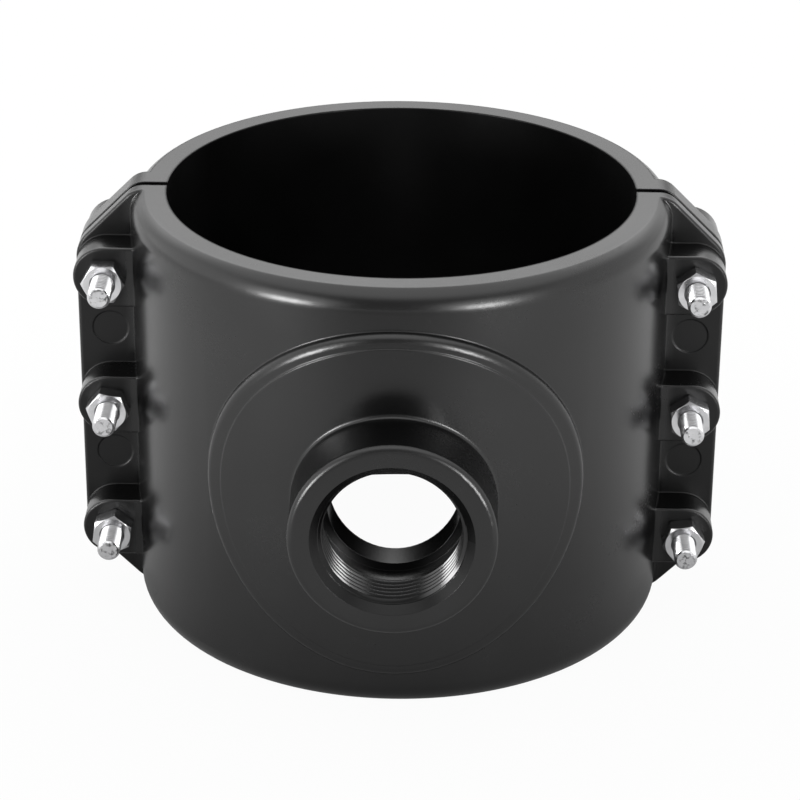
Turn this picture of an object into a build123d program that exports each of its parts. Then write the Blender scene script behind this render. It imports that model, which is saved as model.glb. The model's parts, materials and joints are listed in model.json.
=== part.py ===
"""Tapping saddle for a 160 mm pipe with a G 1 1/2 female outlet, in millimetres.

Frame: the origin is where the pipe axis meets the outlet axis. +Z runs along the pipe,
-Y points out of the outlet and +X to the right-hand row of bolts seen from the outlet.
"""

from build123d import *
import math
import os

os.makedirs("parts", exist_ok=True)

# ---- driving dimensions ----

# pipe and shell
pipe_radius = 80.0
saddle_length = 150.0
shell_wall = 12.3
end_round_radius = 8.25     # arc that rounds the shell's outer edge at both ends
end_round_length = 7.45     # length of shell that the arc takes up
split_gap = 3.0             # gap left between the halves on a pipe of full size

# bolt rows and flanges
bolt_to_shell = 8.1         # from the shell's outside to the bolts' axes
bolt_to_end = 27.25         # from the outer bolts' axes to the saddle's ends
flange_margin = 11.0        # from the bolts' axes to the flange's outer edge
corner_cut = 20.2           # 45 degree cut at the flange corners
corner_round_outer = 12.0
corner_round_end = 8.0
flange_edge_round = 1.0
front_flange = 5.0          # flange thickness of the outlet half
back_flange = 10.5          # flange thickness of the back half
ejector_radius = 6.2        # shallow round marks between the lugs
ejector_depth = 0.3

# lugs, each round about its bolt and flat-sided towards the shell
lug_radius_front = 10.75
lug_radius_back = 11.0
lug_height_front = 12.5     # above the flange
lug_edge_round = 0.8
lug_root = 6.0              # how far a lug reaches into the shell's wall

# outlet: raised pad, boss and stepped hole
pad_radius = 62.0
pad_rim_height = 3.3
pad_rim_round = 3.0
pad_face_radius = 57.4
pad_face_step = 0.4         # the pad's face above its rim
boss_radius = 33.6
boss_height = 21.0          # above the pad's face
boss_edge_round = 2.0
boss_root_round = 1.2
thread_radius = 23.9        # G 1 1/2, measured at the thread's root
thread_length = 16.5
mouth_chamfer = 2.5
relief_radius = 24.6
relief_length = 7.5
port_radius = 21.75

# seal ring in the outlet half
seal_inner_radius = 26.0
seal_width = 7.0
seal_thickness = 4.5
seal_lip = 1.2              # depth of the groove between the seal's two lips
seal_clearance = 0.1

# M8 x 60 bolts and nuts
bolt_radius = 4.0
bolt_length = 60.0
bolt_tip_chamfer = 0.7
hex_across_flats = 13.0
head_height = 5.3
nut_height = 6.5
nut_bore_clearance = 0.08
nut_countersink = 0.35
corner_turning = 0.1        # how far inside the flats the corner chamfers start
bolt_stick_out = 11.6       # beyond the nut
hole_clearance = 0.5
pocket_clearance = 0.15     # each side of a bolt head in its hexagonal pocket

# ---- derived dimensions ----

half_length = saddle_length / 2
half_gap = split_gap / 2
shell_radius = pipe_radius + shell_wall
bolt_x = shell_radius + bolt_to_shell
flange_half_width = bolt_x + flange_margin
bolt_spacing = half_length - bolt_to_end
bolt_levels = {"top": bolt_spacing, "middle": 0.0, "bottom": -bolt_spacing}
bolt_sides = {"left": -bolt_x, "right": bolt_x}
pad_rim = shell_radius + pad_rim_height
pad_face = pad_rim + pad_face_step
outlet_face = pad_face + boss_height
nut_seat = half_gap + front_flange + lug_height_front
bolt_tip = nut_seat + nut_height + bolt_stick_out
head_seat = bolt_length - bolt_tip
lug_face_back = head_seat + head_height
far = 4 * shell_radius      # longer than anything that it cuts

# angle of one corner of each nut, as each happens to be tightened
nut_turns = {
    "left_top": -1.0, "left_middle": 50.0, "left_bottom": 22.0,
    "right_top": 35.5, "right_middle": 35.0, "right_bottom": 7.5,
}


def across_y(x, y, z):
    """A plane square to Y, whose sketch x is +X and sketch y is +Z. An extrusion goes to -Y."""
    return Plane(origin=(x, y, z), x_dir=(1, 0, 0), z_dir=(0, -1, 0))


def rod_y(radius, y_from, y_to, x=0.0, z=0.0):
    """A cylinder along Y between two levels."""
    face = across_y(x, y_from, z) * Circle(radius)
    return extrude(face, amount=y_from - y_to)


def pipe_rod(radius):
    """A cylinder about the pipe axis, longer than the saddle."""
    return Cylinder(radius, far)


def half_space(sign):
    """Everything beyond one face of the split gap: sign -1 is the outlet's side."""
    return Pos(0, sign * (half_gap + far / 2), 0) * Box(far, far, far)


def shell_ring():
    """The full turned ring, with both outer ends rounded by an arc that meets the end flat at an angle."""
    round_angle = math.asin(end_round_length / end_round_radius)
    arc_centre = shell_radius - end_round_radius
    arc_level = half_length - end_round_length
    flat_edge = arc_centre + end_round_radius * math.cos(round_angle)
    middle = (
        arc_centre + end_round_radius * math.cos(round_angle / 2),
        arc_level + end_round_radius * math.sin(round_angle / 2),
    )
    lines = [
        Line((pipe_radius, -half_length), (pipe_radius, half_length)),
        Line((pipe_radius, half_length), (flat_edge, half_length)),
        ThreePointArc((flat_edge, half_length), middle, (shell_radius, arc_level)),
        Line((shell_radius, arc_level), (shell_radius, -arc_level)),
        ThreePointArc((shell_radius, -arc_level), (middle[0], -middle[1]), (flat_edge, -half_length)),
        Line((flat_edge, -half_length), (pipe_radius, -half_length)),
    ]
    profile = make_face([Plane.XZ * line for line in lines])
    return revolve(profile, Axis.Z)


def flange_plate(thickness, sign):
    """Both flanges as one plate with 45 degree corners. The bore is cut out of it later."""
    cut = corner_cut
    corners = [
        (flange_half_width, half_length - cut),
        (flange_half_width - cut, half_length),
    ]
    outline = corners + [(-x, z) for x, z in reversed(corners)]
    outline += [(-x, -z) for x, z in outline]
    sketch = make_face(Polyline(*outline, close=True))
    outer = [v for v in sketch.vertices() if abs(v.X) > flange_half_width - 0.01]
    sketch = fillet(outer, corner_round_outer)
    ends = [v for v in sketch.vertices() if abs(abs(v.X) - (flange_half_width - cut)) < 0.01]
    sketch = fillet(ends, corner_round_end)
    plate = extrude(across_y(0, sign * half_gap, 0) * sketch, amount=-sign * thickness)
    rim = plate.faces().sort_by(Axis.Y)[0 if sign < 0 else -1].edges()
    return fillet(rim, flange_edge_round)


def lug(x, z, radius, sign, reach):
    """A lug from the split face to its seat, round outside the bolt, running into the shell."""
    side = math.copysign(1, x)
    inward = bolt_to_shell + lug_root
    outline = Circle(radius) + Pos(-side * inward / 2, 0) * Rectangle(inward, 2 * radius)
    depth = reach - half_gap
    body = extrude(across_y(x, sign * half_gap, z) * outline, amount=-sign * depth)
    rim = body.faces().sort_by(Axis.Y)[0 if sign < 0 else -1].edges()
    return fillet(rim, lug_edge_round)


def shell_half(sign, flange_thickness, lug_radius, lug_reach):
    """Half of the shell with its flanges and six lugs, still without bore, holes or outlet."""
    body = shell_ring() & half_space(sign)
    body += flange_plate(flange_thickness, sign)
    for x in bolt_sides.values():
        for z in bolt_levels.values():
            body += lug(x, z, lug_radius, sign, lug_reach)
    return body


def bolt_holes(y_from, y_to):
    """Clearance holes for all six bolts."""
    radius = bolt_radius + hole_clearance
    return [rod_y(radius, y_from, y_to, x, z) for x in bolt_sides.values() for z in bolt_levels.values()]


def ejector_marks(flange_face, sign):
    """Shallow round marks on the flanges, midway between the lugs."""
    inner = flange_face - sign * ejector_depth
    outer = flange_face + sign
    levels = [bolt_spacing / 2, -bolt_spacing / 2]
    return [rod_y(ejector_radius, inner, outer, x, z) for x in bolt_sides.values() for z in levels]


def on_curve(edge, distance):
    """True if every tested point of the edge satisfies the distance function."""
    return all(abs(distance(edge @ share)) < 0.01 for share in (0.1, 0.35, 0.6, 0.85))


def outlet_pad():
    """The round pad wrapped on the shell, with a rounded rim and a slightly raised face."""
    rim = rod_y(pad_radius, 0, -far / 2) & pipe_rod(pad_rim)
    outer_edge = [e for e in rim.edges() if on_curve(e, lambda p: math.hypot(p.X, p.Y) - pad_rim)]
    rim = fillet(outer_edge, pad_rim_round)
    face = rod_y(pad_face_radius, 0, -far / 2) & pipe_rod(pad_face)
    return rim + face


def outlet_body():
    """The pad with the plain boss that the thread is cut in, rounded at its rim and its root."""
    boss = rod_y(boss_radius, 0, -outlet_face)
    boss = fillet(boss.faces().sort_by(Axis.Y)[0].edges(), boss_edge_round)
    body = outlet_pad() + boss
    around_boss = [e for e in body.edges() if on_curve(e, lambda p: math.hypot(p.X, p.Z) - boss_radius)]
    root = [e for e in around_boss if on_curve(e, lambda p: math.hypot(p.X, p.Y) - pad_face)]
    return fillet(root, boss_root_round)


def outlet_hole():
    """Mouth chamfer, thread, relief and port as one turned cutter."""
    thread_end = outlet_face - mouth_chamfer - thread_length
    relief_end = thread_end - relief_length
    mouth_radius = thread_radius + mouth_chamfer
    profile = [
        (0, 0),
        (port_radius, 0),
        (port_radius, relief_end),
        (relief_radius, relief_end),
        (relief_radius, thread_end),
        (thread_radius, thread_end + relief_radius - thread_radius),
        (thread_radius, outlet_face - mouth_chamfer),
        (mouth_radius + 1, outlet_face + 1),
        (0, outlet_face + 1),
    ]
    points = [(r, -y, 0) for r, y in profile]
    return revolve(make_face(Polyline(*points, close=True)), Axis.Y)


def seal_ring(extra):
    """The ring-shaped space of the seal, grown by a clearance on its inner, outer and bottom walls."""
    inner = seal_inner_radius - extra
    outer = seal_inner_radius + seal_width + extra
    ring = rod_y(outer, 0, -far / 2) - rod_y(inner, 0, -far / 2)
    return ring & pipe_rod(pipe_radius + seal_thickness + extra)


def outlet_half():
    body = shell_half(-1, front_flange, lug_radius_front, nut_seat)
    body += outlet_body() & half_space(-1)
    body -= pipe_rod(pipe_radius)
    body -= seal_ring(seal_clearance)
    body -= outlet_hole()
    body -= bolt_holes(0, -nut_seat - 1)
    body -= ejector_marks(-half_gap - front_flange, -1)
    return body


def outlet_seal():
    """Rubber ring with two lips, pressed flush with the pipe."""
    ring = seal_ring(0) - pipe_rod(pipe_radius)
    middle = seal_inner_radius + seal_width / 2
    quarter = seal_width / 8
    groove = rod_y(middle + quarter, 0, -far / 2) - rod_y(middle - quarter, 0, -far / 2)
    return ring - (groove & pipe_rod(pipe_radius + seal_lip))


def hexagon(across_flats):
    return RegularPolygon(across_flats / 2, 6, major_radius=False)


def back_half():
    body = shell_half(1, back_flange, lug_radius_back, lug_face_back)
    body -= pipe_rod(pipe_radius)
    body -= bolt_holes(lug_face_back + 1, 0)
    pocket = hexagon(hex_across_flats + 2 * pocket_clearance)
    for x in bolt_sides.values():
        for z in bolt_levels.values():
            body -= extrude(across_y(x, lug_face_back + 1, z) * pocket, amount=head_height + 1)
    body -= ejector_marks(half_gap + back_flange, 1)
    return body


def turned_hexagon(height, inner_profile, chamfer_top):
    """A hexagonal prism along Z from 0, cut to a turned profile that takes its corners off.

    The inner profile closes the section on the axis or on the wall of a hole, from the top down.
    """
    corner_radius = hex_across_flats / math.sqrt(3)
    face_radius = hex_across_flats / 2 - corner_turning
    drop = (corner_radius - face_radius) * math.tan(math.radians(30))
    outer = [(face_radius, 0), (corner_radius, drop)]
    if chamfer_top:
        outer += [(corner_radius, height - drop), (face_radius, height)]
    else:
        outer += [(corner_radius, height)]
    section = make_face(Plane.XZ * Polyline(*outer, *inner_profile, close=True))
    return extrude(hexagon(hex_across_flats), amount=height) & revolve(section, Axis.Z)


def bolt():
    """An M8 bolt along Z: head below 0, tip at the bolt's length."""
    shank = Cylinder(bolt_radius, bolt_length, align=(Align.CENTER, Align.CENTER, Align.MIN))
    shank = chamfer(shank.faces().sort_by(Axis.Z)[-1].edges(), bolt_tip_chamfer)
    head = turned_hexagon(head_height, [(0, head_height), (0, 0)], chamfer_top=False)
    return shank + Pos(0, 0, -head_height) * head


def nut():
    """An M8 nut along Z from 0, with its thread left plain."""
    bore = bolt_radius + nut_bore_clearance
    mouth = bore + nut_countersink
    hole = [(mouth, nut_height), (bore, nut_height - nut_countersink), (bore, nut_countersink), (mouth, 0)]
    return turned_hexagon(nut_height, hole, chamfer_top=True)


def towards_outlet(x, y, z):
    """Places a part drawn along +Z so that it points to -Y from the given point."""
    return Pos(x, y, z) * Rot(90, 0, 0)


export_step(outlet_half(), "parts/outlet_half.step")
export_step(back_half(), "parts/back_half.step")
export_step(outlet_seal(), "parts/outlet_seal.step")
for side, x in bolt_sides.items():
    for level, z in bolt_levels.items():
        place = f"{side}_{level}"
        export_step(towards_outlet(x, head_seat, z) * bolt(), f"parts/bolt_{place}.step")
        turned_nut = Rot(0, 0, nut_turns[place]) * nut()
        export_step(towards_outlet(x, -nut_seat, z) * turned_nut, f"parts/nut_{place}.step")
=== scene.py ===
"""Looks of the tapping saddle: black moulded plastic, plated bolts and nuts, and a rubber seal.

The solids leave threads plain. The outlet's thread is added here as a sleeve of ridges, and a whole
threaded bolt stands in for each plain one. All other shapes are the solids' own.
"""

import json
import math

import bmesh
import bpy
from mathutils import Matrix, Vector


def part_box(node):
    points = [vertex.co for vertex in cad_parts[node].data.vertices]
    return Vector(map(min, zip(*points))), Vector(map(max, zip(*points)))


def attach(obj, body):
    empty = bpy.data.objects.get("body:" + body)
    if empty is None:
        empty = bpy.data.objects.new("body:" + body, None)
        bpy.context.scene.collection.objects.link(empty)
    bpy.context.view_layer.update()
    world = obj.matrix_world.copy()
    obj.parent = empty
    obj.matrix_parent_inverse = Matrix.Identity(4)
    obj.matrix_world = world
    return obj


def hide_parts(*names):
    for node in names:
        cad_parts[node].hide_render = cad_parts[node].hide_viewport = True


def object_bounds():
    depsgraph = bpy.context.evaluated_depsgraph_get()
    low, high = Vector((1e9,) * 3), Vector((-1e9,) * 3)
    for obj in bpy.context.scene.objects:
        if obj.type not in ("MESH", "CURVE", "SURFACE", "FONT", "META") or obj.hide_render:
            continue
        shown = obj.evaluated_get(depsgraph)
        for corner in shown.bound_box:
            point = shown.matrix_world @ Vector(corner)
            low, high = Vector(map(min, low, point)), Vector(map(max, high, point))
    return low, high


MM = 0.001

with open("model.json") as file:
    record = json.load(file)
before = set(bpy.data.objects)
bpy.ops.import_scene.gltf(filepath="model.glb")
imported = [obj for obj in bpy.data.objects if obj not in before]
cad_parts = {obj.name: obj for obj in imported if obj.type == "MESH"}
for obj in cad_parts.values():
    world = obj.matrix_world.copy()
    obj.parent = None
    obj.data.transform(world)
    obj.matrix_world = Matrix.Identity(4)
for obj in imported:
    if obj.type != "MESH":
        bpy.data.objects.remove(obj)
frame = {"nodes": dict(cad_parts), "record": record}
cad_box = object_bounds()
nodes = frame["nodes"]
mounts = {mount["name"]: mount for mount in frame["record"]["mounts"]}
bolt_places = sorted(name.removeprefix("bolt_") for name in nodes if name.startswith("bolt_"))

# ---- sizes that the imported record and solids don't state ----

# outlet's thread, G 1 1/2
OUTLET_PITCH = 2.309 * MM
OUTLET_THREAD_DEPTH = 1.45 * MM
OUTLET_CONE = 1.0           # slope of the cones that cut the thread at both ends
OUTLET_MOUTH_RADIUS = 26.4 * MM
OUTLET_RELIEF_START = 19 * MM   # from the outlet's face to the relief behind its thread
OUTLET_PROFILE = {"flank_degrees": 62.5, "crest_share": 0.5, "segments": 3, "flank_points": (0.5,)}
OUTLET_STEPS = 144          # points round the axis
OUTLET_CREASE = 50          # degrees from which an edge is sharp
SLEEVE_CLEARANCE = 0.03 * MM    # from the thread's root to the outlet's wall
SLEEVE_BACK = 0.2 * MM      # how far the sleeve's hidden back lies inside the wall
BOSS_RADIUS = 33.6 * MM

# fasteners' thread, M8
BOLT_RADIUS = 4.0 * MM
BOLT_PITCH = 1.25 * MM
BOLT_THREAD_DEPTH = 0.75 * MM
BOLT_PROFILE = {"flank_degrees": 60, "crest_share": 0.25, "segments": 2, "flank_points": (0.15, 0.85)}
BOLT_STEPS = 72
BOLT_CREASE = 34
BOLT_THREAD_LENGTH = 20 * MM
BOLT_TIP_CHAMFER = 0.9 * MM
TIP_RING = 0.55             # share of the tip's radius at which its flat face gets a ring
HEAD_HEIGHT = 5.3 * MM
HEAD_ACROSS_FLATS = 13 * MM
HEAD_CORNER_SLOPE = math.tan(math.radians(30))
HEAD_TURNING = 0.1 * MM     # how far inside the flats the corner chamfers start
HEAD_FACE_RING = 0.97       # share of the face's radius at which a ring keeps its shading flat
HEAD_CHAMFER_RINGS = 4

MERGE_DISTANCE = 1e-7       # metres; points closer than this are one


# ---- camera ----

LENS_MM = 131.03            # on Blender's 36 mm sensor
CAMERA_DISTANCE = 1025.1 * MM
CAMERA_DOWN = 25.277        # degrees below the horizon
CAMERA_TURN = 0.997         # degrees about the pipe axis
CAMERA_ROLL = 0.469
CAMERA_NEAR_CLIP = 0.05
ORIGIN_ACROSS = 0.05 * MM   # where the origin lies in the view, from its middle
ORIGIN_UP = 4.86 * MM


def add_camera():
    turn = Matrix.Rotation(math.radians(CAMERA_TURN), 3, "Z")
    tilt = Matrix.Rotation(math.radians(90 - CAMERA_DOWN), 3, "X")
    roll = Matrix.Rotation(math.radians(CAMERA_ROLL), 3, "Z")
    facing = turn @ tilt @ roll
    camera = bpy.data.objects.new("camera", bpy.data.cameras.new("camera"))
    camera.data.lens = LENS_MM
    camera.data.clip_start = CAMERA_NEAR_CLIP
    camera.matrix_world = facing.to_4x4()
    camera.location = facing @ Vector((ORIGIN_ACROSS, -ORIGIN_UP, CAMERA_DISTANCE))
    bpy.context.scene.collection.objects.link(camera)
    bpy.context.scene.camera = camera


# ---- node graphs ----

class Graph:
    """Adds nodes to a tree. A value given to a node is a constant or another node's socket."""

    def __init__(self, tree):
        self.tree = tree

    def set(self, socket, value):
        if isinstance(value, bpy.types.NodeSocket):
            self.tree.links.new(value, socket)
        else:
            socket.default_value = value

    def add(self, kind, **inputs):
        node = self.tree.nodes.new(kind)
        for name, value in inputs.items():
            self.set(node.inputs[name.replace("_", " ")], value)
        return node

    def calculate(self, kind, operation, values):
        node = self.tree.nodes.new(kind)
        node.operation = operation
        for socket, value in zip(node.inputs, values):
            self.set(socket, value)
        return node.outputs

    def math(self, operation, *values):
        return self.calculate("ShaderNodeMath", operation, values)[0]

    def vector_math(self, operation, *values):
        """The number that an operation on vectors gives."""
        return self.calculate("ShaderNodeVectorMath", operation, values)["Value"]

    def product(self, total, *values):
        for value in values:
            total = self.math("MULTIPLY", total, value)
        return total

    def highest(self, total, *values):
        for value in values:
            total = self.math("MAXIMUM", total, value)
        return total

    def strongest(self, shares):
        """The highest of some values, each multiplied by its share."""
        return self.highest(*(self.math("MULTIPLY", value, share) for value, share in shares))

    def spread(self, value, low, high, from_low=0.0, from_high=1.0, smooth=False):
        """Maps a value's range on to low to high, without going past them."""
        node = self.add("ShaderNodeMapRange", Value=value, From_Min=from_low, From_Max=from_high,
                        To_Min=low, To_Max=high)
        if smooth:
            node.interpolation_type = "SMOOTHSTEP"
        return node.outputs["Result"]

    def above(self, value, start, full):
        """0 up to the start and 1 from full on."""
        return self.spread(value, 0, 1, start, full)

    def below(self, value, full, end):
        """1 up to full and 0 from the end on."""
        return self.spread(value, 1, 0, full, end)

    def split(self, vector):
        return self.add("ShaderNodeSeparateXYZ", Vector=vector).outputs

    def length_of(self, first, second):
        flat = self.add("ShaderNodeCombineXYZ", X=first, Y=second)
        return self.vector_math("LENGTH", flat.outputs[0])

    def blend(self, share, first, second):
        """A shader that goes from the first node's to the second's with the share."""
        node = self.tree.nodes.new("ShaderNodeMixShader")
        for socket, value in zip(node.inputs, (share, first.outputs[0], second.outputs[0])):
            self.set(socket, value)
        return node.outputs[0]

    def whiteness(self, camera, glossy, transmission):
        """How far a ray sees plain white instead of the lit studio, by its kind."""
        rays = self.add("ShaderNodeLightPath").outputs
        shares = {"Is Camera Ray": camera, "Is Glossy Ray": glossy, "Is Transmission Ray": transmission}
        return self.strongest((rays[kind], share) for kind, share in shares.items())


# ---- light, background and floor ----

# The light tent's sides, each with its radiance and the bounds between which it grows to that. The
# bounds are components of a unit direction, with x to the right-hand bolts, y to the back and z up.
DIMMEST = 0.18              # the tent's opening, and what its other sides add to that
OVERHEAD, OVERHEAD_RISE = 1.9, (0.34, 0.84)
OVERHEAD_TILT = 0.25        # how much of y counts as z, so that the overhead light leans back
LEFT_WALL, RIGHT_WALL, WALL_RISE = 1.65, 1.0, (0.55, 0.9)
BEHIND, BEHIND_RISE, BEHIND_LIFT = 1.4, (0.2, 0.7), (0.24, 0.46)
BACK_CORNERS, CORNERS_RISE = 1.0, (0.2, 0.6)
CORNERS_ACROSS, CORNERS_LIFT = (0.25, 0.45), (-0.1, 0.1)
GLOWS = [(-44, 14, 24, 3.0), (36, 10, 24, 2.8)]     # azimuth, elevation, half width, radiance
GLOW_CORE = 1 / 3           # share of a glow's half width that is at full radiance
GLOSSY_WHITENESS = 0.2      # share of the background's white in reflections and through openings

# softboxes: name, azimuth, elevation, size in metres and power in watts
SOFTBOXES = [("softbox_left", -44, 3, (0.36, 0.30), 8), ("softbox_right", 34, 3, (0.30, 0.30), 6)]
SOFTBOX_DISTANCE = 1.2

FLOOR_HALF_SIDE = 6.0
FLOOR_GREY = 0.54
FLOOR_WHITENESS = 0.96      # as the camera sees it
FLOOR_GLOSSY_WHITENESS = 0.1
OPENING = (0, -0.8, 0)      # painted shade: the floor's grey is darker near the tent's opening and round the saddle
PAINTED_OPENING_SHADE, OPENING_FADE = 0.4, (0.3, 0.6)
PAINTED_SADDLE_SHADE, SADDLE_FADE = 0.64, (0.1, 0.34)


def cosine(degrees):
    return math.cos(math.radians(degrees))


def away(azimuth, elevation):
    """The direction from the origin to an azimuth and an elevation. 0 is the outlet's side, 90 is +X."""
    turn, lift = math.radians(azimuth), math.radians(elevation)
    across = math.cos(lift)
    return Vector((math.sin(turn) * across, -math.cos(turn) * across, math.sin(lift)))


def add_softbox(name, azimuth, elevation, size, power):
    """A rectangular light aimed at the origin."""
    towards = away(azimuth, elevation)
    lamp = bpy.data.lights.new(name, "AREA")
    lamp.shape = "RECTANGLE"
    lamp.size, lamp.size_y = size
    lamp.energy = power
    light = bpy.data.objects.new(name, lamp)
    light.location = towards * SOFTBOX_DISTANCE
    light.rotation_euler = towards.to_track_quat("Z", "Y").to_euler()
    light.visible_camera = False
    bpy.context.scene.collection.objects.link(light)


def add_world():
    """A light tent: bright overhead, at the back and both sides, and dimmer at its opening in front."""
    world = bpy.data.worlds.new("studio")
    world.use_nodes = True
    graph = Graph(world.node_tree)

    def glow(radiance, value, rise):
        return graph.spread(value, 0, radiance, *rise, smooth=True)

    direction = graph.add("ShaderNodeTexCoord").outputs["Generated"]
    x, y, z = graph.split(direction)
    leaning = graph.math("ADD", z, graph.math("MULTIPLY", y, OVERHEAD_TILT))
    overhead = glow(OVERHEAD, leaning, OVERHEAD_RISE)
    left = glow(LEFT_WALL, graph.math("MULTIPLY", x, -1.0), WALL_RISE)
    right = glow(RIGHT_WALL, x, WALL_RISE)
    behind = graph.product(glow(BEHIND, y, BEHIND_RISE), glow(1.0, z, BEHIND_LIFT))
    across = graph.math("ABSOLUTE", x)
    corners = graph.product(glow(BACK_CORNERS, y, CORNERS_RISE), glow(1.0, across, CORNERS_ACROSS),
                            glow(1.0, z, CORNERS_LIFT))
    above = graph.math("ADD", overhead, graph.highest(behind, corners))
    brightest = graph.highest(above, left, right)
    for azimuth, elevation, half_width, radiance in GLOWS:
        near = graph.vector_math("DOT_PRODUCT", direction, away(azimuth, elevation))
        around = glow(radiance, near, (cosine(half_width), cosine(half_width * GLOW_CORE)))
        brightest = graph.math("ADD", brightest, around)

    tent = graph.tree.nodes["Background"]
    graph.set(tent.inputs["Color"], (1, 1, 1, 1))
    graph.set(tent.inputs["Strength"], graph.math("ADD", brightest, DIMMEST))
    white = graph.add("ShaderNodeBackground", Color=(1, 1, 1, 1))
    share = graph.whiteness(1.0, GLOSSY_WHITENESS, GLOSSY_WHITENESS)
    graph.set(graph.tree.nodes["World Output"].inputs["Surface"], graph.blend(share, tent, white))
    bpy.context.scene.world = world


def add_floor():
    """A matte floor that the camera sees nearly white; its grey has painted shade round the saddle and
    near the tent's opening, on top of the saddle's cast shadow.
    """
    side = FLOOR_HALF_SIDE
    mesh = bpy.data.meshes.new("floor")
    corners = [(-side, -side, 0), (side, -side, 0), (side, side, 0), (-side, side, 0)]
    mesh.from_pydata(corners, [], [(0, 1, 2, 3)])
    floor = bpy.data.objects.new("floor", mesh)
    floor.location.z = cad_box[0][2]
    bpy.context.scene.collection.objects.link(floor)

    material = bpy.data.materials.new("floor")
    material.use_nodes = True
    graph = Graph(material.node_tree)
    graph.tree.nodes.clear()
    place = graph.add("ShaderNodeTexCoord").outputs["Object"]
    from_opening = graph.vector_math("DISTANCE", place, OPENING)
    from_saddle = graph.vector_math("LENGTH", place)
    # painted shade: the floor's grey darkens near the tent's opening and round the saddle
    painted_shade_grey = FLOOR_GREY * PAINTED_OPENING_SHADE
    shade = graph.spread(from_opening, painted_shade_grey, FLOOR_GREY, *OPENING_FADE, smooth=True)
    painted_saddle_shade = graph.spread(from_saddle, PAINTED_SADDLE_SHADE, 1, *SADDLE_FADE, smooth=True)
    matte = graph.add("ShaderNodeBsdfDiffuse", Color=graph.product(shade, painted_saddle_shade))
    white = graph.add("ShaderNodeEmission")
    share = graph.whiteness(FLOOR_WHITENESS, FLOOR_GLOSSY_WHITENESS, FLOOR_WHITENESS)
    graph.add("ShaderNodeOutputMaterial", Surface=graph.blend(share, matte, white))
    mesh.materials.append(material)


# ---- materials ----

# Colours and sheens run from the first value to the second; a sheen is a roughness. Noises are given
# by scale and detail, and bumps by strength and distance.
MOST_NOISE = 0.3, 0.7               # most of a noise's values lie between these
BEVEL_SAMPLES = 8

PLASTIC_COLORS = (0.0010, 0.0010, 0.0010, 1), (0.0022, 0.0022, 0.0023, 1)
PLASTIC_SHEEN = 0.22, 0.27
PLASTIC_FINE_SHEEN = -0.02, 0.02    # added to the sheen by a finer noise
PLASTIC_CLOUDS, PLASTIC_SPECKS, PLASTIC_WAVES, PLASTIC_GRAIN = (28, 4), (900, 2), (14, 1), (1400, 2)
PLASTIC_SPECK_RANGE = 0.25, 0.75
PLASTIC_WAVE_BUMP, PLASTIC_GRAIN_BUMP = (0.12, 1.2 * MM), (0.06, 0.03 * MM)
PLASTIC_IOR = 1.5
FULL_SPECULAR = 0.5                 # specular level; places with painted shade reflect less than this
# painted shade: how far the specular level drops in the bore, on the faces of the flanges and lugs, in
# the mouth and on the boss's side
PAINTED_SHADE_BORE, PAINTED_SHADE_FLANGE, PAINTED_SHADE_MOUTH, PAINTED_SHADE_BOSS_SIDE = 0.30, 0.22, 0.25, 0.36
ROUGHER_BORE, ROUGHER_FLANGE, SMOOTHER_THREAD = 0.08, 0.15, 0.08
ALONG_OUTLET, CONICAL, SIDEWAYS = (0.8, 0.95), (0.75, 0.9), (0.1, 0.6)    # size of a normal's y
SOFT_EDGE, CRISP_EDGE = 0.8 * MM, 0.15 * MM     # rounding of edges outside and inside the outlet
BOSS_RIM_EXTRA = 0.7 * MM           # what the boss's rim has on top of that

PLATING_COLORS = (0.56, 0.56, 0.57, 1), (0.68, 0.68, 0.69, 1)
PLATING_SHEEN = 0.14, 0.26
PLATING_CLOUDS, PLATING_DENTS, PLATING_STREAKS = (260, 4), (500, 1), (3000, 3)
PLATING_DENT_BUMP, PLATING_STREAK_BUMP = (0.10, 0.05 * MM), (0.05, 0.02 * MM)
PLATING_EDGE = 0.05 * MM
STREAK_STRETCH = (1, 0.12, 1)       # streaks run along the bolts
SHEAR_MARKS, SHEAR_MARK_ROUGHNESS = (600, 3), 0.6
SHEAR_MARK_RANGE = 0.52, 0.66
SHEAR_MARK_COLOR = (0.12, 0.12, 0.12, 1)
SHEAR_MARK_BUMP = 0.6, 0.08 * MM

RUBBER_COLORS = (0.008, 0.008, 0.008, 1), (0.02, 0.02, 0.021, 1)
RUBBER_SHEEN = 0.5, 0.7
RUBBER_BLOOM, RUBBER_GRAIN = (120, 4), (900, 3)
RUBBER_BLOOM_RANGE = 0.35, 0.7
RUBBER_GRAIN_BUMP = 0.2, 0.05 * MM
RUBBER_EDGE = 0.3 * MM


def past(place, *distances):
    """The place moved by each of some distances in millimetres."""
    return [place + distance * MM for distance in distances]


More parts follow.
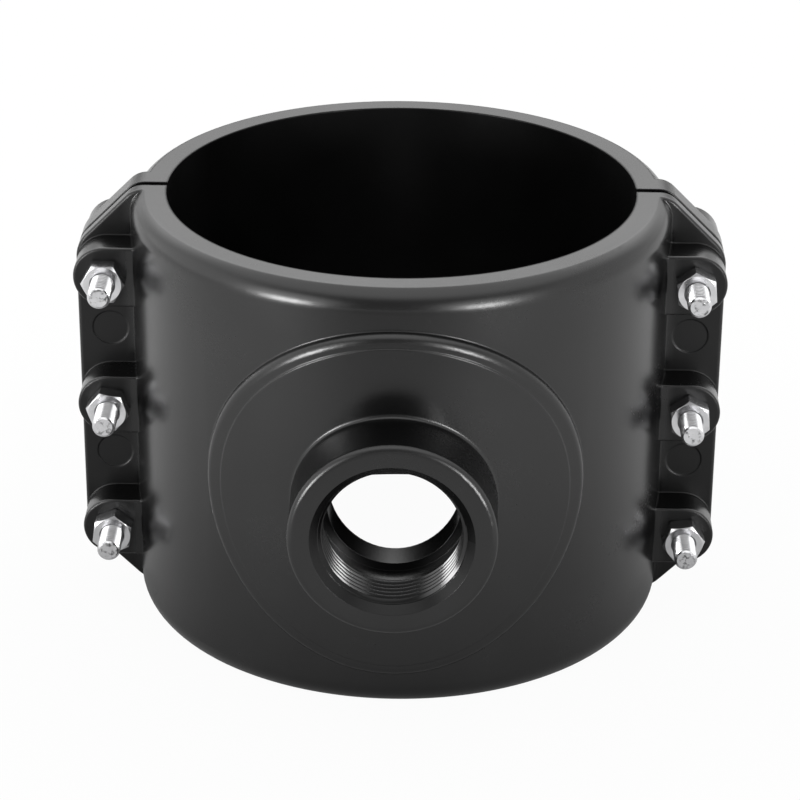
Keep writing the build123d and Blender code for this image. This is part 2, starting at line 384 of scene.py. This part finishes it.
class Surface(Graph):
    """A Principled material with helpers for textures, edges and the shader's inputs."""

    def __init__(self, name):
        self.material = bpy.data.materials.new(name)
        self.material.use_nodes = True
        super().__init__(self.material.node_tree)
        self.shader = self.tree.nodes["Principled BSDF"]
        coordinates = self.add("ShaderNodeTexCoord").outputs
        self.place, self.facing = coordinates["Object"], coordinates["Normal"]

    def put(self, name, value):
        self.set(self.shader.inputs[name], value)

    def stretched(self, scale):
        """Object coordinates scaled by axis, for streaks."""
        return self.add("ShaderNodeMapping", Vector=self.place, Scale=scale).outputs[0]

    def noise(self, scale, detail, roughness=0.5, at=None):
        node = self.add("ShaderNodeTexNoise", Vector=self.place if at is None else at,
                        Scale=scale, Detail=detail, Roughness=roughness)
        return node.outputs["Fac"]

    def mix_color(self, share, first, second):
        node = self.tree.nodes.new("ShaderNodeMix")
        node.data_type = "RGBA"
        self.set(node.inputs["Factor"], share)
        self.set(node.inputs["A"], first)
        self.set(node.inputs["B"], second)
        return node.outputs["Result"]

    def bump(self, height, strength, distance, normal):
        node = self.add("ShaderNodeBump", Height=height, Strength=strength, Distance=distance,
                        Normal=normal)
        return node.outputs["Normal"]

    def soft_edges(self, radius):
        node = self.tree.nodes.new("ShaderNodeBevel")
        node.samples = BEVEL_SAMPLES
        self.set(node.inputs["Radius"], radius)
        return node.outputs["Normal"]


def plastic_material():
    """Moulded black polypropylene: nearly black, a soft sheen with faint flow marks and a fine grain.

    The bore, the faces of the flanges and lugs, the outlet's mouth and the boss's side have painted
    shade: their reflection is turned down to darken them.
    """
    m = Surface("black_plastic_moulded")
    m.put("IOR", PLASTIC_IOR)
    pipe_radius = mounts["pipe_bore"]["dims"]["r_mm"] * MM
    wall = mounts["outlet_thread"]["dims"]["r_mm"] * MM
    shell_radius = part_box("back_half")[1][1]
    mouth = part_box("outlet_half")[0][1]
    x, y, z = m.split(m.place)
    about_pipe, about_outlet = m.length_of(x, y), m.length_of(x, z)
    facing = m.math("ABSOLUTE", m.split(m.facing)[1])

    # where it has painted shade as weaker reflection, or is rougher or smoother; each place fades
    # between the two bounds
    bore = m.below(about_pipe, *past(pipe_radius, 0.2, 0.8))
    beside = m.above(m.math("ABSOLUTE", x), *past(shell_radius, 0, 3))
    flange = m.product(beside, m.above(facing, *ALONG_OUTLET))
    outside = m.above(about_outlet, *past(BOSS_RADIUS, -1, -0.2))
    close = m.below(about_outlet, *past(BOSS_RADIUS, 0.2, 2))
    boss_side = m.product(outside, close, m.below(facing, *SIDEWAYS))
    near_mouth = m.below(y, *past(mouth, 4, 6))
    within = m.below(about_outlet, *past(OUTLET_MOUTH_RADIUS, 0, 0.2))
    mouth_cone = m.product(within, near_mouth, m.below(facing, *CONICAL))
    threaded = m.product(m.below(y, *past(mouth + OUTLET_RELIEF_START, 0, 2)),
                         m.below(about_outlet, *past(wall, 0.1, 0.3)))

    clouds = m.noise(*PLASTIC_CLOUDS)
    m.put("Base Color", m.mix_color(m.above(clouds, *MOST_NOISE), *PLASTIC_COLORS))
    sheen = m.spread(clouds, *PLASTIC_SHEEN, *MOST_NOISE)
    fine = m.spread(m.noise(*PLASTIC_SPECKS), *PLASTIC_FINE_SHEEN, *PLASTIC_SPECK_RANGE)
    rougher = m.strongest([(bore, ROUGHER_BORE), (flange, ROUGHER_FLANGE)])
    rougher = m.math("SUBTRACT", rougher, m.math("MULTIPLY", threaded, SMOOTHER_THREAD))
    m.put("Roughness", m.math("ADD", m.math("ADD", sheen, fine), rougher))
    # painted shade: weaker reflection in these places darkens them
    painted_shade = m.strongest([(bore, PAINTED_SHADE_BORE), (flange, PAINTED_SHADE_FLANGE), (mouth_cone, PAINTED_SHADE_MOUTH),
                        (boss_side, PAINTED_SHADE_BOSS_SIDE)])
    m.put("Specular IOR Level", m.math("SUBTRACT", FULL_SPECULAR, painted_shade))

    rim = m.spread(about_outlet, 0, BOSS_RIM_EXTRA, *past(OUTLET_MOUTH_RADIUS, 1.6, 3.6))
    rounding = m.spread(about_outlet, CRISP_EDGE, SOFT_EDGE, *past(OUTLET_MOUTH_RADIUS, 0.4, 0.8))
    edges = m.soft_edges(m.math("ADD", rounding, m.product(near_mouth, rim)))
    waves = m.bump(m.noise(*PLASTIC_WAVES), *PLASTIC_WAVE_BUMP, edges)
    m.put("Normal", m.bump(m.noise(*PLASTIC_GRAIN), *PLASTIC_GRAIN_BUMP, waves))
    return m.material


def steel_material():
    """Bright zinc plating over rolled steel: crisp reflections, fine streaks and sheared bolt tips."""
    m = Surface("bright_steel_plated")
    m.put("Metallic", 1)
    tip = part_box("bolt_" + bolt_places[0])[0][1]
    at_tip = m.below(m.split(m.place)[1], *past(tip, 0.1, 0.3))
    torn = m.noise(*SHEAR_MARKS, SHEAR_MARK_ROUGHNESS)
    marks = m.product(m.above(torn, *SHEAR_MARK_RANGE), at_tip)
    plating = m.mix_color(m.above(m.noise(*PLATING_CLOUDS), *MOST_NOISE), *PLATING_COLORS)
    m.put("Base Color", m.mix_color(marks, plating, SHEAR_MARK_COLOR))
    streaks = m.noise(*PLATING_STREAKS, at=m.stretched(STREAK_STRETCH))
    m.put("Roughness", m.spread(streaks, *PLATING_SHEEN, *MOST_NOISE))
    dents = m.bump(m.noise(*PLATING_DENTS), *PLATING_DENT_BUMP, m.soft_edges(PLATING_EDGE))
    ends = m.bump(marks, *SHEAR_MARK_BUMP, dents)
    m.put("Normal", m.bump(streaks, *PLATING_STREAK_BUMP, ends))
    return m.material


def rubber_material():
    """Matte black nitrile rubber with a faint bloom."""
    m = Surface("seal_rubber_black")
    bloom = m.above(m.noise(*RUBBER_BLOOM), *RUBBER_BLOOM_RANGE)
    m.put("Base Color", m.mix_color(bloom, *RUBBER_COLORS))
    m.put("Roughness", m.spread(bloom, *RUBBER_SHEEN))
    m.put("Normal", m.bump(m.noise(*RUBBER_GRAIN), *RUBBER_GRAIN_BUMP, m.soft_edges(RUBBER_EDGE)))
    return m.material


# ---- turned and threaded meshes ----

class TurnedMesh:
    """A closed mesh about an axis along Y, from points by angle, distance along the axis and radius."""

    def __init__(self, name, centre, steps):
        self.name = name
        self.centre = Vector(centre)
        self.steps = steps
        self.build = bmesh.new()

    def point(self, step, along, radius):
        angle = 2 * math.pi * step / self.steps
        place = Vector((math.cos(angle) * radius, -along, math.sin(angle) * radius))
        return self.build.verts.new(self.centre + place)

    def circle(self, radius):
        return [radius] * self.steps

    def surface(self, rings):
        """Faces between rings, each given as its distance along the axis and its points' radii."""
        made = [[self.point(step, along, radii[step]) for step in range(self.steps)]
                for along, radii in rings]
        for first, second in zip(made, made[1:]):
            for step in range(self.steps):
                following = (step + 1) % self.steps
                self.build.faces.new((first[step], first[following], second[following], second[step]))

    def helix(self, pitch, profile, start, end, clip):
        """A right-handed thread from start to end.

        The profile is (share of the pitch, radius) over one pitch. clip(along, radius) limits the radius
        near the ends, where the thread's points gather on a plain ring.
        """
        points = len(profile)
        places = (math.ceil((end - start) / pitch) + 2) * self.steps
        rows = []
        for place in range(places + 1):
            row = []
            for share, radius in profile:
                along = start + pitch * (place / self.steps - 1 + share)
                along = min(end, max(start, along))
                row.append(self.point(-place % self.steps, along, clip(along, radius)))
            rows.append(row)
        for place in range(places):
            for index in range(points):
                if index + 1 < points:
                    corners = (rows[place][index], rows[place][index + 1],
                               rows[place + 1][index + 1], rows[place + 1][index])
                elif place + self.steps < places:
                    corners = (rows[place][index], rows[place + self.steps][0],
                               rows[place + self.steps + 1][0], rows[place + 1][index])
                else:
                    continue
                self.build.faces.new(corners)

    def finish(self, crease_degrees, material):
        build = self.build
        bmesh.ops.remove_doubles(build, verts=build.verts, dist=MERGE_DISTANCE)
        bmesh.ops.dissolve_degenerate(build, edges=build.edges, dist=MERGE_DISTANCE)
        loose = [vert for vert in build.verts if not vert.link_faces]
        bmesh.ops.delete(build, geom=loose, context="VERTS")
        bmesh.ops.recalc_face_normals(build, faces=build.faces)
        crease = math.radians(crease_degrees)
        for face in build.faces:
            face.smooth = True
        for edge in build.edges:
            edge.smooth = len(edge.link_faces) == 2 and edge.calc_face_angle(0) < crease
        mesh = bpy.data.meshes.new(self.name)
        build.to_mesh(mesh)
        build.free()
        mesh.materials.append(material)
        piece = bpy.data.objects.new(self.name, mesh)
        bpy.context.scene.collection.objects.link(piece)
        return piece


def thread_profile(pitch, root, crest, flank_degrees, crest_share, segments, flank_points):
    """One pitch of a thread as (share of the pitch, radius): straight flanks, rounded crest and root.

    flank_degrees is how far a flank leans from a plain cylinder. The arcs' radii follow from it and the
    depth, and crest_share splits them between crest and root. Each arc's half has the given number of
    segments, and flank_points are shares of a flank that get a point of their own.
    """
    lean = math.radians(flank_degrees)
    depth = abs(crest - root)
    outwards = 1 if crest > root else -1
    both_arcs = (pitch / 2 * math.tan(lean) - depth) / (1 / math.cos(lean) - 1)
    crest_arc, root_arc = both_arcs * crest_share, both_arcs * (1 - crest_share)
    angles = [lean * index / segments for index in range(segments + 1)]
    half = [(crest_arc * math.sin(angle), crest_arc * (1 - math.cos(angle))) for angle in angles]
    to_root = [(pitch / 2 - root_arc * math.sin(angle), depth - root_arc * (1 - math.cos(angle)))
               for angle in reversed(angles)]
    (top_along, top_below), (foot_along, foot_below) = half[-1], to_root[0]
    for share in flank_points:
        half.append((top_along + (foot_along - top_along) * share,
                     top_below + (foot_below - top_below) * share))
    half += to_root
    whole = half + [(pitch - along, below) for along, below in reversed(half[1:-1])]
    return [(along / pitch, crest - outwards * below) for along, below in whole]


def outlet_thread(material):
    """The outlet's female thread, as a sleeve whose ridges stand in from the outlet's wall."""
    mount = mounts["outlet_thread"]
    wall = mount["dims"]["r_mm"] * MM
    length = mount["dims"]["length_mm"] * MM
    outer_end = -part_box("outlet_half")[0][1] - (OUTLET_MOUTH_RADIUS - wall) * OUTLET_CONE
    inner_end = outer_end - length
    root = wall - SLEEVE_CLEARANCE
    crest = root - OUTLET_THREAD_DEPTH

    def clip(along, radius):
        spare = min(along - inner_end, outer_end - along) / OUTLET_CONE
        return root - min(root - radius, max(0.0, spare))

    sleeve = TurnedMesh("outlet_thread", (0, 0, 0), OUTLET_STEPS)
    profile = thread_profile(OUTLET_PITCH, root, crest, **OUTLET_PROFILE)
    sleeve.helix(OUTLET_PITCH, profile, inner_end, outer_end, clip)
    inside, behind = sleeve.circle(root), sleeve.circle(wall + SLEEVE_BACK)
    sleeve.surface([(inner_end, inside), (inner_end, behind), (outer_end, behind), (outer_end, inside)])
    piece = sleeve.finish(OUTLET_CREASE, material)
    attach(piece, "outlet_half")


def threaded_bolt(place, material):
    """A whole bolt with its rolled thread, standing for the plain one of the solids."""
    node = "bolt_" + place
    low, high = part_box(node)
    tip, head_end = -low[1], -high[1]
    seat = head_end + HEAD_HEIGHT
    start = tip - BOLT_THREAD_LENGTH
    flat = HEAD_ACROSS_FLATS / 2
    corner = flat / math.cos(math.pi / 6)
    centre = ((low[0] + high[0]) / 2, 0, (low[2] + high[2]) / 2)
    bolt = TurnedMesh(node + "_threaded", centre, BOLT_STEPS)
    circle = bolt.circle

    def hexagon(limit):
        """Radii of the hexagonal head, cut to a limit by the corner chamfer."""
        angles = [2 * math.pi * step / bolt.steps for step in range(bolt.steps)]
        from_flat = [(angle + math.pi / 6) % (math.pi / 3) - math.pi / 6 for angle in angles]
        return [min(limit, flat / math.cos(angle)) for angle in from_flat]

    inner = flat - HEAD_TURNING
    head = [(head_end, circle(0.0)), (head_end, circle(inner * HEAD_FACE_RING))]
    for ring in range(HEAD_CHAMFER_RINGS + 1):
        limit = inner + (corner - inner) * ring / HEAD_CHAMFER_RINGS
        head.append((head_end + (limit - inner) * HEAD_CORNER_SLOPE, hexagon(limit)))
    head += [(seat, hexagon(corner)), (seat, circle(BOLT_RADIUS)), (start, circle(BOLT_RADIUS))]
    bolt.surface(head)

    def clip(along, radius):
        depth = (BOLT_RADIUS - radius) * min(1.0, (along - start) / BOLT_PITCH)
        return min(BOLT_RADIUS - depth, BOLT_RADIUS - max(0.0, BOLT_TIP_CHAMFER - (tip - along)))

    profile = thread_profile(BOLT_PITCH, BOLT_RADIUS - BOLT_THREAD_DEPTH, BOLT_RADIUS, **BOLT_PROFILE)
    bolt.helix(BOLT_PITCH, profile, start, tip, clip)
    end = BOLT_RADIUS - BOLT_TIP_CHAMFER
    bolt.surface([(tip, circle(end)), (tip, circle(end * TIP_RING)), (tip, circle(0.0))])
    piece = bolt.finish(BOLT_CREASE, material)
    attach(piece, "back_half")
    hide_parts(node)


def dress(node, material):
    mesh = nodes[node].data
    mesh.materials.clear()
    mesh.materials.append(material)


# ---- the scene ----

add_camera()
add_world()
add_floor()
for softbox in SOFTBOXES:
    add_softbox(*softbox)

plastic = plastic_material()
steel = steel_material()
rubber = rubber_material()
dress("outlet_half", plastic)
dress("back_half", plastic)
dress("outlet_seal", rubber)
for place in bolt_places:
    dress("nut_" + place, steel)
    dress("bolt_" + place, steel)
    threaded_bolt(place, steel)
outlet_thread(plastic)

bpy.context.scene.view_settings.view_transform = "Standard"
